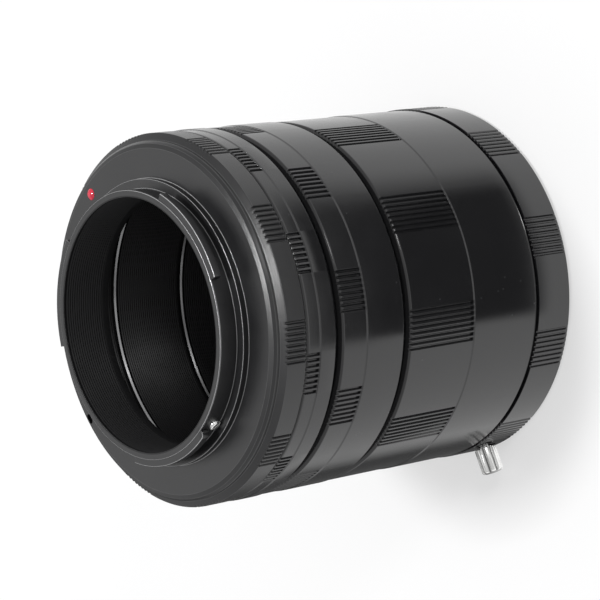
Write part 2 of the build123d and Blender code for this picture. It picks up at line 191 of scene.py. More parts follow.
class LensSizes(bpy.types.PropertyGroup):
    """Sizes of the lens ring's inside and of its release post"""
    face_bevel: length("Face bevel", "Leg of the bevel at the lens face", 0.0004)
    recess_radius: length("Recess radius", "Radius of the recess for the bayonet plate", 0.02895)
    recess_depth: length("Recess depth", "Height of the recess floor", 0.0016)
    hub_radius: length("Hub bore", "Radius of the bore round the plate's hub", 0.02505)
    ledge_height: length("Ledge height", "Height of the ledge over the leaf springs", 0.00275)
    pocket_radius: length("Pocket radius", "Radius of the leaf springs' pocket", 0.0243)
    baffle_low: length("Baffle underside", "Height of the baffle's underside", 0.00475)
    baffle_top: length("Baffle top", "Height of the baffle's upper side", 0.00585)
    baffle_radius: length("Baffle radius", "Inner radius of the baffle", 0.0222)
    lock_turn: turn("Lock turn", "Angle of the lens lock", 164.4)
    post_height: length("Post height", "Height of the release post", 0.0044)
    post_radius: length("Post radius", "Radius of the release post's head", 0.00185)
    post_gap: length("Post gap", "Gap between the ring and the post's head", 0.0003)
    post_tip: length("Post tip", "Distance of the post's tip from the axis", 0.0350)
    neck_radius: length("Neck radius", "Radius of the post's shank", 0.00085)
    pin_ring: length("Pin ring", "Radius at which the lock pin sits", 0.0274)
    slot_low: length("Slot low end", "Lowest travel of the post below its rest", 0.0015)
    slot_high: length("Slot high end", "Highest travel of the post above its rest", 0.0005)
    slot_clearance: length("Slot clearance", "Room beside the post's shank", 0.0001)
    flute_depth: length("Flute depth", "Depth of the post's flutes", 0.00032)
    flutes: number("Flutes", "Flutes round the release post", 8, 3)
    bead_turn: turn("Bead turn", "Angle of the lens index bead", 129.0)
    bead_height: length("Bead height", "Height of the lens index bead", 0.0034)


class Finishes(bpy.types.PropertyGroup):
    """Colours and gloss of the finishes"""
    satin_black: colour("Satin black", "Anodised camera ring", (0.0105, 0.0105, 0.0115))
    gloss_black: colour("Gloss black", "Anodised tubes", (0.0085, 0.0085, 0.0095))
    dust: colour("Dust", "Dust and fine scratches", (0.20, 0.20, 0.21))
    # Uncoated aluminium colour, used on edges that are partly real rubbing and partly painted highlight, and
    # as painted highlight in concave fillets
    bare_and_lit: colour("Bare edge", "Aluminium showing on worn edges", (0.62, 0.62, 0.63))
    steel: colour("Steel", "Plated steel", (0.94, 0.94, 0.93))
    dark_steel: colour("Dark steel", "Blackened screws", (0.045, 0.045, 0.05))
    red: colour("Red enamel", "Index beads", (0.80, 0.02, 0.06))
    floor: colour("Floor", "Pale floor", (0.96, 0.96, 0.965))
    satin_roughness: share("Satin roughness", "Roughness of the camera ring", 0.32)
    gloss_roughness: share("Gloss roughness", "Roughness of the tubes", 0.16)


SETTINGS = {
    "ring_sizes": RingSizes,
    "grip_sizes": GripSizes,
    "inside_sizes": InsideSizes,
    "bayonet_sizes": BayonetSizes,
    "lens_sizes": LensSizes,
    "finishes": Finishes,
}


# Shader values and materials

class Wire:
    """One output socket. Arithmetic on it adds Math nodes to its material."""

    def __init__(self, recipe, socket):
        self.recipe = recipe
        self.socket = socket

    def __add__(self, other):
        return self.recipe.math("ADD", self, other)

    def __sub__(self, other):
        return self.recipe.math("SUBTRACT", self, other)

    def __rsub__(self, other):
        return self.recipe.math("SUBTRACT", other, self)

    def __mul__(self, other):
        return self.recipe.math("MULTIPLY", self, other)

    def __truediv__(self, other):
        return self.recipe.math("DIVIDE", self, other)

    def __pow__(self, other):
        return self.recipe.math("POWER", self, other)

    __radd__ = __add__
    __rmul__ = __mul__


class Recipe:
    """A material under construction."""

    def __init__(self, name):
        self.material = bpy.data.materials.new(name)
        self.material.use_nodes = True
        self.tree = self.material.node_tree
        self.tree.nodes.clear()

    def add(self, kind, settings=None, inputs=None, output=0):
        """Add a node, settings first and then inputs, and return the output or the tuple of outputs named."""
        node = self.tree.nodes.new(kind)
        for key, value in (settings or {}).items():
            setattr(node, key, value)
        for key, value in (inputs or {}).items():
            socket = node.inputs[key]
            if isinstance(value, Wire):
                self.tree.links.new(value.socket, socket)
            else:
                socket.default_value = value
        if isinstance(output, tuple):
            return tuple(Wire(self, node.outputs[key]) for key in output)
        return Wire(self, node.outputs[output]) if node.outputs else None

    def math(self, operation, *values):
        return self.add("ShaderNodeMath", {"operation": operation}, dict(enumerate(values)))

    def place(self):
        """Object coordinates, and from them the distance from the optical axis, the height and the angle."""
        where = self.add("ShaderNodeTexCoord", output="Object")
        x, y, z = self.add("ShaderNodeSeparateXYZ", None, {0: where}, (0, 1, 2))
        around = self.math("ARCTAN2", y, x)
        return where, (x * x + y * y) ** 0.5, z, around

    def vector(self, x, y, z):
        return self.add("ShaderNodeCombineXYZ", None, {0: x, 1: y, 2: z})

    def noise(self, vector, scale, detail=2.0, roughness=0.5):
        return self.add("ShaderNodeTexNoise", {"noise_dimensions": "3D"},
                        {"Vector": vector, "Scale": scale, "Detail": detail, "Roughness": roughness}, "Fac")

    def ramp(self, value, low, high, start=0.0, end=1.0):
        return self.add("ShaderNodeMapRange", {"interpolation_type": "SMOOTHSTEP"},
                        {"Value": value, "From Min": low, "From Max": high, "To Min": start, "To Max": end})

    def mix(self, factor, first, second):
        return self.add("ShaderNodeMix", {"data_type": "RGBA"}, {0: factor, 6: first, 7: second}, 2)

    def bump(self, height, strength, distance, normal=None):
        inputs = {"Strength": strength, "Distance": distance, "Height": height}
        if normal:
            inputs["Normal"] = normal
        return self.add("ShaderNodeBump", None, inputs)

    def finish(self, inputs):
        shader = self.add("ShaderNodeBsdfPrincipled", None, inputs)
        self.add("ShaderNodeOutputMaterial", {"target": "ALL"}, {"Surface": shader})
        return self.material


def opaque(rgb):
    return (*rgb, 1.0)


def anodised(name, rgb, dust_rgb, bare_and_lit_rgb, bore_radius, roughness, specular, line_pitch, line_strength):
    """Black anodised aluminium with turning marks, grain, smears, dust, a matt bore, and uncoated edges that
    are partly real rubbing and partly painted highlight.
    """
    recipe = Recipe(name)
    where, reach, height, around = recipe.place()
    marks = recipe.vector(reach / line_pitch, height / line_pitch, around * 1.5)
    turned_lines = recipe.noise(marks, 1.0, 3.0, 0.6)
    grain = recipe.noise(where, 5200.0, 2.0, 0.6)
    smear = recipe.noise(recipe.vector(reach * 90.0, height * 60.0, around * 2.2), 1.0, 4.0, 0.62)
    speck = recipe.add("ShaderNodeTexVoronoi", {"feature": "F1"}, {"Vector": where, "Scale": 620.0},
                       "Distance")
    patch = recipe.noise(where, 75.0, 2.0)
    dust = recipe.ramp(speck, 0.05, 0.13, 1.0, 0.0) * recipe.ramp(patch, 0.52, 0.66)
    tone = recipe.mix(recipe.ramp(smear, 0.35, 0.75, 0.0, 0.35), opaque(rgb), opaque([1.55 * c for c in rgb]))
    # Painted highlight and real rubbing: where the mesh's wear layer says so, edges take the uncoated
    # aluminium colour and turn metallic. In concave fillets this is painted highlight only.
    wear_and_highlight = recipe.add("ShaderNodeAttribute", {"attribute_name": "wear_and_highlight"}, None, "Fac")
    bare_and_lit = recipe.ramp(wear_and_highlight, 0.05, 0.5) * recipe.ramp(patch, 0.25, 0.6, 0.6, 1.0)
    base = recipe.mix(dust * 0.10, tone, opaque(dust_rgb))
    base = recipe.mix(bare_and_lit * 0.85, base, opaque(bare_and_lit_rgb))
    bore = recipe.ramp(reach, bore_radius + 0.00015, bore_radius + 0.0003, 1.0, 0.0)
    rough = recipe.ramp(smear, 0.25, 0.8, roughness - 0.05, roughness + 0.07) + dust * 0.15
    rough = rough + bore * (1.0 - bare_and_lit) * 0.3
    normal = recipe.bump(turned_lines, line_strength, 0.00002)
    normal = recipe.bump(grain, 0.10, 0.00001, normal)
    return recipe.finish({"Base Color": base, "Metallic": bare_and_lit * 0.8 + bore * 0.4, "Roughness": rough,
                          "Normal": normal, "Specular IOR Level": specular})


def plated(name, rgb, roughness):
    """Bright plated metal with fine drawn lines, tarnish, and painted shade in the deep part of each flute.
    """
    recipe = Recipe(name)
    where, reach, height, around = recipe.place()
    drawn = recipe.noise(recipe.vector(reach * 400.0, height * 9000.0, around * 900.0), 1.0, 3.0)
    tarnish = recipe.noise(where, 900.0, 3.0)
    flute = recipe.add("ShaderNodeAttribute", {"attribute_name": "share"}, None, "Fac")
    base = recipe.mix(recipe.ramp(tarnish, 0.4, 0.8, 0.0, 0.4), opaque(rgb), opaque([0.72 * c for c in rgb]))
    # Painted shade: the deep part of each flute is darkened nearly to black
    base = recipe.mix(recipe.ramp(flute, 0.6, 1.0, 0.0, 0.9), base, opaque([0.12 * c for c in rgb]))
    rough = recipe.ramp(tarnish, 0.3, 0.8, roughness, roughness + 0.12)
    return recipe.finish({"Base Color": base, "Metallic": 1.0, "Roughness": rough,
                          "Normal": recipe.bump(drawn, 0.25, 0.00001)})


def enamel(name, rgb):
    """Glossy red enamel, a little uneven where it was dropped in."""
    recipe = Recipe(name)
    where = recipe.add("ShaderNodeTexCoord", output="Object")
    pooled = recipe.noise(where, 1500.0, 2.0)
    base = recipe.mix(recipe.ramp(pooled, 0.35, 0.7), opaque(rgb), opaque([0.7 * c for c in rgb]))
    return recipe.finish({"Base Color": base, "Roughness": recipe.ramp(pooled, 0.3, 0.7, 0.12, 0.24),
                          "Coat Weight": 0.6, "Coat Roughness": 0.06,
                          "Normal": recipe.bump(pooled, 0.25, 0.00002)})


MATERIALS = {}


def make_materials(scene):
    """Make each finish once, under the name of its slot in the record."""
    finishes = scene.finishes
    MATERIALS["anodised_satin"] = anodised(
        "anodised_satin", finishes.satin_black, finishes.dust, finishes.bare_and_lit, scene.bayonet_sizes.bore_radius,
        finishes.satin_roughness, specular=0.7, line_pitch=0.00009, line_strength=0.7)
    MATERIALS["anodised_gloss"] = anodised(
        "anodised_gloss", finishes.gloss_black, finishes.dust, finishes.bare_and_lit, scene.ring_sizes.bore_radius,
        finishes.gloss_roughness, specular=0.8, line_pitch=0.00012, line_strength=0.10)
    MATERIALS["bright_steel"] = plated("bright_steel", finishes.steel, 0.16)
    MATERIALS["pin_steel"] = plated("pin_steel", finishes.steel, 0.3)
    MATERIALS["spring_steel"] = plated("spring_steel", [0.8 * c for c in finishes.steel], 0.28)
    MATERIALS["black_steel"] = plated("black_steel", finishes.dark_steel, 0.34)
    MATERIALS["red_enamel"] = enamel("red_enamel", finishes.red)


# Mesh tools

SPIN_STEPS = 180
SHARP_ANGLE = radians(32)
LAND_STEP = radians(1.7)
ARC_STEPS = 8
THREAD_STEPS = 96
# Plain lengths before and after the threads of a spigot and of a socket
SPIGOT_PLAIN = (0.00035, 0.0002)
SOCKET_PLAIN = (0.00008, 0.0003)


def soften(corners, wear_and_highlight=0.0):
    """Turn (radius, height, rounding) corners into (radius, height, wear) points; the middle of each rounded
    corner takes the given share of uncoated aluminium, partly real rubbing and partly painted highlight.
    """
    points = []
    count = len(corners)
    for index, (radius, height, rounding) in enumerate(corners):
        here = Vector((radius, height, 0.0))
        if not rounding or index in (0, count - 1):
            points.append(here)
            continue
        before = Vector((*corners[index - 1][:2], 0.0)) - here
        after = Vector((*corners[index + 1][:2], 0.0)) - here
        start = here + before.normalized() * min(rounding, before.length / 2)
        end = here + after.normalized() * min(rounding, after.length / 2)
        points += [start, (start + end + 2 * here) / 4 + Vector((0.0, 0.0, wear_and_highlight)), end]
    return points


def lathe(bm, points, steps=SPIN_STEPS, closed=False):
    """Spin an outline of (radius, height, wear) points about the optical axis."""
    chain = [bm.verts.new((radius, 0.0, height)) for radius, height, wear_and_highlight in points]
    worn_and_lit = bm.verts.layers.float["wear_and_highlight"]
    for vert, (radius, height, wear_and_highlight) in zip(chain, points):
        vert[worn_and_lit] = wear_and_highlight
    pairs = list(zip(chain, chain[1:]))
    if closed:
        pairs.append((chain[-1], chain[0]))
    edges = [bm.edges.new(pair) for pair in pairs]
    bmesh.ops.spin(bm, geom=chain + edges, cent=(0, 0, 0), axis=(0, 0, 1), dvec=(0, 0, 0),
                   angle=tau, steps=steps, use_merge=True, use_duplicate=False)


def ridges(radius, start, end, pitch, depth):
    """Points of a row of V-shaped light-trap ridges from one height to another."""
    count = max(1, round(abs(end - start) / pitch))
    step = (end - start) / count
    points = []
    for index in range(count):
        points.append(Vector((radius, start + step * index, 0.0)))
        points.append(Vector((radius + depth, start + step * (index + 0.5), 0.0)))
    points.append(Vector((radius, end, 0.0)))
    return points


def grip_marks(grip, radius, first):
    """Angles round a grip band, each with the share of the groove's depth reached there."""
    mouth, floor, lip = grip.mouth / 2, grip.floor / 2, grip.lip
    slope = mouth - floor
    shape = [(mouth + lip, 0.0), (mouth, 0.05), (mouth - lip, lip / slope),
             (floor + lip / 3, 0.94), (floor - lip / 2, 1.0)]
    section = [(-offset, deep) for offset, deep in shape]
    section += reversed(shape)
    cell = tau / grip.groups
    marks = []
    for group in range(grip.groups):
        centre = first + group * cell
        for index in range(grip.grooves):
            middle = centre + (index - (grip.grooves - 1) / 2) * grip.pitch
            marks += [(middle + offset / radius, deep) for offset, deep in section]
        start = marks[-1][0]
        end = centre + cell - (grip.grooves - 1) / 2 * grip.pitch - shape[0][0] / radius
        plain = round((end - start) / LAND_STEP)
        marks += [(start + (end - start) * step / plain, 0.0) for step in range(1, plain)]
    return marks


def loft(bm, marks, levels, reach):
    """Raise a wall round (angle, share) marks through (radius, height, wear, weight) levels."""
    shares, worn_and_lit = bm.verts.layers.float["share"], bm.verts.layers.float["wear_and_highlight"]
    made = bmesh.ops.create_circle(bm, cap_ends=False, segments=len(marks), radius=1.0)["verts"]
    loop = sorted(made, key=lambda vert: atan2(vert.co.y, vert.co.x))
    for vert, (angle, share_here) in zip(loop, marks):
        vert[shares] = share_here
        vert.co = (cos(angle), sin(angle), 0.0)
    edges = list(dict.fromkeys(edge for vert in loop for edge in vert.link_edges))
    for index, (radius, height, wear_and_highlight, weight) in enumerate(levels):
        if index:
            grown = bmesh.ops.extrude_edge_only(bm, edges=edges)["geom"]
            loop = [item for item in grown if isinstance(item, bmesh.types.BMVert)]
            fresh = set(loop)
            edges = [item for item in grown if isinstance(item, bmesh.types.BMEdge)
                     and item.verts[0] in fresh and item.verts[1] in fresh]
        for vert in loop:
            vert[worn_and_lit] = wear_and_highlight
            scale = reach(radius, weight, vert[shares]) / hypot(vert.co.x, vert.co.y)
            vert.co = (vert.co.x * scale, vert.co.y * scale, height)


def skin(bm, marks, levels, band_radius, groove_depth):
    """Loft a grooved outer wall through (radius, height, wear, grooved) levels."""
    def reach(radius, grooved, deep):
        return min(radius, band_radius - groove_depth * deep) if grooved else radius
    loft(bm, marks, levels, reach)


def rims(bm, height, low, high):
    """Open edges that lie at one height between two radii."""
    def lies_there(vert):
        return abs(vert.co.z - height) < 1e-7 and low <= hypot(vert.co.x, vert.co.y) <= high
    return [edge for edge in bm.edges if len(edge.link_faces) < 2 and all(map(lies_there, edge.verts))]


def fill(bm, edges):
    """Fill between open rims, magnified and off their axes because the fill's tolerances are fixed."""
    verts = list({vert for edge in edges for vert in edge.verts})
    aside = Matrix.Rotation(1.1, 4, "Z") @ Matrix.Scale(1000.0, 4)
    bmesh.ops.transform(bm, matrix=aside, verts=verts)
    bmesh.ops.triangle_fill(bm, use_beauty=True, use_dissolve=False, edges=edges, normal=(0.0, 0.0, 1.0))
    bmesh.ops.transform(bm, matrix=aside.inverted(), verts=verts)


def close_face(bm, height, low, high):
    """Fill the flat ring between the rims at one height."""
    fill(bm, rims(bm, height, low, high))


def helix(bm, root, crest, start, end, pitch):
    """Screw thread as a ridge that winds from one height to another."""
    foot = pitch * 0.42
    tip = pitch * 0.06
    inward = 1 if crest > root else -1
    buried = root - inward * 0.00003
    outline = [(buried, -foot), (crest, -tip), (crest, tip), (buried, foot)]
    chain = [bm.verts.new((radius, 0.0, start + foot + height)) for radius, height in outline]
    edges = [bm.edges.new(pair) for pair in zip(chain, chain[1:] + chain[:1])]
    turns = (end - start - 2 * foot) / pitch
    steps = int(THREAD_STEPS * turns)
    last = bmesh.ops.spin(bm, geom=chain + edges, cent=(0, 0, 0), axis=(0, 0, 1),
                          dvec=(0, 0, turns * pitch / steps), angle=turns * tau, steps=steps,
                          use_merge=False, use_duplicate=False)["geom_last"]
    for ends in (edges, [item for item in last if isinstance(item, bmesh.types.BMEdge)]):
        bmesh.ops.holes_fill(bm, edges=ends, sides=4)


def round_piece(bm, name, slot_name, body, node, threads, tool=None):
    """Make an object of a mesh, cut a tool's shape out, wind its threads, and stand it for its CAD node."""
    bmesh.ops.remove_doubles(bm, verts=bm.verts, dist=1e-7)
    bmesh.ops.recalc_face_normals(bm, faces=bm.faces)
    mesh = bpy.data.meshes.new(name)
    bm.to_mesh(mesh)
    piece = bpy.data.objects.new(name, mesh)
    bpy.context.scene.collection.objects.link(piece)
    if tool:
        cut = piece.modifiers.new("cut", "BOOLEAN")
        cut.object = tool
        evaluated = piece.evaluated_get(bpy.context.evaluated_depsgraph_get())
        bm.clear()
        bm.from_mesh(evaluated.to_mesh())
        piece.modifiers.remove(cut)
        bpy.data.objects.remove(tool)
    # The threads are shells of their own, and a cut keeps or drops such a shell by chance
    for thread in threads:
        alone = new_mesh()
        helix(alone, *thread)
        alone.to_mesh(mesh)
        alone.free()
        bm.from_mesh(mesh)
    bmesh.ops.recalc_face_normals(bm, faces=bm.faces)
    for face in bm.faces:
        face.smooth = True
    for edge in bm.edges:
        if len(edge.link_faces) != 2:
            raise RuntimeError(name + " has an open or doubled edge")
        edge.smooth = edge.calc_face_angle() < SHARP_ANGLE
    bm.to_mesh(mesh)
    bm.free()
    mesh.materials.append(MATERIALS[slot_name])
    weighted = piece.modifiers.new("flats", "WEIGHTED_NORMAL")
    weighted.keep_sharp = True
    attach(piece, body)
    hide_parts(node)


def new_mesh():
    """Empty mesh with the layers that the shaders and the lofts read."""
    bm = bmesh.new()
    bm.verts.layers.float.new("share")
    # The wear layer: share of uncoated aluminium on edges, partly real rubbing and partly painted highlight
    bm.verts.layers.float.new("wear_and_highlight")
    return bm


def plug(bm, radius, depth, segments):
    """Vertices of an upright cylinder round the origin."""
    return bmesh.ops.create_cone(bm, cap_ends=True, segments=segments,
                                 radius1=radius, radius2=radius, depth=depth)["verts"]


def upright(angle, radius, height):
    """Placing at an angle and a radius from the optical axis."""
    return Matrix.Rotation(angle, 4, "Z") @ Matrix.Translation((radius, 0.0, height))


def sideways(angle, radius, height):
    """The same placing with the z axis turned outwards."""
    return upright(angle, radius, height) @ Matrix.Rotation(pi / 2, 4, "Y")


def cutter(bm, name):
    """Object for a shape that is cut out of a piece."""
    bmesh.ops.recalc_face_normals(bm, faces=bm.faces)
    mesh = bpy.data.meshes.new(name)
    bm.to_mesh(mesh)
    bm.free()
    tool = bpy.data.objects.new(name, mesh)
    bpy.context.scene.collection.objects.link(tool)
    return tool


# Pieces

def tube_levels(rings, low, high, front, rear, band):
    """Levels of a tube's outer wall, from its lens end to the rounded shoulder at its camera end."""
    soft = rings.edge_softness
    outer = rings.tube_radius
    inner = outer - rings.band_step
    band_low = high - band
    (front_out, front_along), (rear_out, rear_along) = front, rear
    start = soften([
        (outer - rear_out - rings.fine_bevel, low, 0.0),
        (outer - rear_out, low, soft),
        (outer, low + rear_along, soft),
        (outer, band_low - rings.band_slope, soft / 2),
        (inner, band_low, 0.0),
    ])
    levels = [(*point, False) for point in start]
    levels.append((inner, band_low + soft / 2, 0.0, True))
    for step in range(ARC_STEPS):
        turned = pi / 2 * step / (ARC_STEPS - 1)
        levels.append((inner - front_out * (1 - cos(turned)), high - front_along * (1 - sin(turned)),
                       0.0, True))
    levels.append((inner - front_out - rings.fine_bevel, high, 0.0, True))
    return levels


def screw_end(rings, inside, high):
    """Points of the male thread's spigot from the shoulder to the bore, with uncoated aluminium at the tip
    and on the bevel inside it, partly real rubbing and partly painted highlight.
    """
    root = rings.spigot_radius - inside.thread_depth
    tip = high + rings.spigot_length
    bore = rings.bore_radius
    # Uncoated tip edges and bevel: partly real rubbing, partly painted highlight
    points = soften([
        (root, high, 0.0),
        (root, tip - 0.0003, 0.00004),
        (root - 0.0002, tip, 0.00004),
        (bore + rings.spigot_bevel, tip, 0.0),
    ], 1.0)
    for part, worn_and_lit in ((0.05, 0.4), (0.95, 0.4), (1.0, 0.0)):
        points.append(Vector((bore + rings.spigot_bevel * (1 - part), tip - rings.spigot_run * part, worn_and_lit)))
    return points + [Vector((bore, tip - rings.tip_length, 0.0))]


def male_thread(rings, inside, low):
    """Root, crest, start, end and pitch of the thread on a spigot that stands on a shoulder."""
    return (rings.spigot_radius - inside.thread_depth, rings.spigot_radius,
            low + SPIGOT_PLAIN[0], low + rings.spigot_length - SPIGOT_PLAIN[1], inside.thread_pitch)


def female_thread(rings, inside, low):
    """Root, crest, start, end and pitch of the thread in a recess that opens at a ring's low end."""
    return (rings.socket_radius + inside.thread_depth, rings.socket_radius,
            low + SOCKET_PLAIN[0], low + rings.socket_depth - SOCKET_PLAIN[1], inside.thread_pitch)


def extension_tube(context, name, low, high, front, rear, band, first):
    """One tube, with its grip band, threads and light-trap ridges."""
    scene = context.scene
    rings, grip, inside = scene.ring_sizes, scene.grip_sizes, scene.inside_sizes
    bm = new_mesh()
    grooved = rings.tube_radius - rings.band_step
    root = rings.socket_radius + inside.thread_depth
    # The bored body and the grooved skin are two closed shapes that overlap inside the wall
    within = root + 0.0005
    overlap = root + 0.00015
    tucked = 0.00001
    sunk = 0.0003
    body = screw_end(rings, inside, high)
    body[0] = Vector((body[0].x, high - sunk, 0.0))
    body += ridges(rings.bore_radius, high + rings.spigot_length - rings.tip_length,
                   low + rings.socket_depth + 0.0004, inside.ridge_pitch, inside.ridge_depth)
    body += soften([
        (rings.bore_radius, low + rings.socket_depth, 0.0),
        (root, low + rings.socket_depth, 0.00005),
        (root, low + tucked, 0.0),
        (within, low + tucked, 0.0),
        (within, high - sunk, 0.0),
    ])
    lathe(bm, body, closed=True)
    levels = [(overlap, low, 0.0, False)] + tube_levels(rings, low, high, front, rear, band)
    levels += [(rings.spigot_radius, high, 0.0, False), (overlap, high - 2 * sunk, 0.0, False), levels[0]]
    skin(bm, grip_marks(grip, grooved, first), levels, grooved, grip.depth)
    round_piece(bm, name + "_turned", "anodised_gloss", name, name,
                [male_thread(rings, inside, high), female_thread(rings, inside, low)])


class TUBE_OT_tubes(bpy.types.Operator):
    """Turn the 7, 14 and 28 mm extension tubes"""
    bl_idname = "tube_stack.tubes"
    bl_label = "Extension tubes"

    def execute(self, context):
        rings, grip = context.scene.ring_sizes, context.scene.grip_sizes
        joint = (rings.joint_depth, rings.joint_run)
        short_front = (rings.front_7_out, rings.front_7_along)
        long_front = (rings.front_bevel_out, rings.front_bevel_along)
        short_rear = (rings.front_bevel_out, rings.rear_bevel_along)
        extension_tube(context, "tube_7", TUBE_7_LOW, CAMERA_LOW, short_front, short_rear,
                       rings.band_7, grip.tube_7_turn)
        extension_tube(context, "tube_14", TUBE_14_LOW, TUBE_7_LOW, long_front, short_rear,
                       rings.band_14, grip.tube_14_turn)
        extension_tube(context, "tube_28", TUBE_28_LOW, TUBE_14_LOW, long_front, joint,
                       rings.band_28, grip.tube_28_turn)
        return {"FINISHED"}


# Each lug's start, end and rounded stretch in degrees, and the share of its height where the rounding ends
LUG_SPANS = [(15.0, 63.0, 0.15, 0.0), (132.4, 184.6, 2.1, 0.27), (252.9, 299.4, 0.15, 0.0)]
LUG_CORNER = 0.25
LUG_STEP = 2.0


def lug_marks():
    """Angles round the barrel, each with the share of the lug's height reached there."""
    marks = []
    for start, end, rounding, step in LUG_SPANS:
        marks += [(start, 0.0), (start + 0.04, 0.9), (start + LUG_CORNER, 1.0)]
        steps = round((end - start) / LUG_STEP)
        plain = end - start - LUG_CORNER - rounding
        marks += [(start + LUG_CORNER + plain * i / steps, 1.0) for i in range(1, steps)]
        for i in range(ARC_STEPS + 1):
            turned = pi / 2 * i / ARC_STEPS
            marks.append((end - rounding * (1 - sin(turned)) - 0.01, step + (1 - step) * cos(turned)))
        marks.append((end, 0.0))
    closing = [span[0] for span in LUG_SPANS[1:]] + [LUG_SPANS[0][0] + 360.0]
    for (start, end, *_), following in zip(LUG_SPANS, closing):
        steps = round((following - end) / LUG_STEP)
        marks += [(end + (following - end) * i / steps, 0.0) for i in range(1, steps)]
    return sorted(((radians(angle), high) for angle, high in marks), key=lambda mark: mark[0])


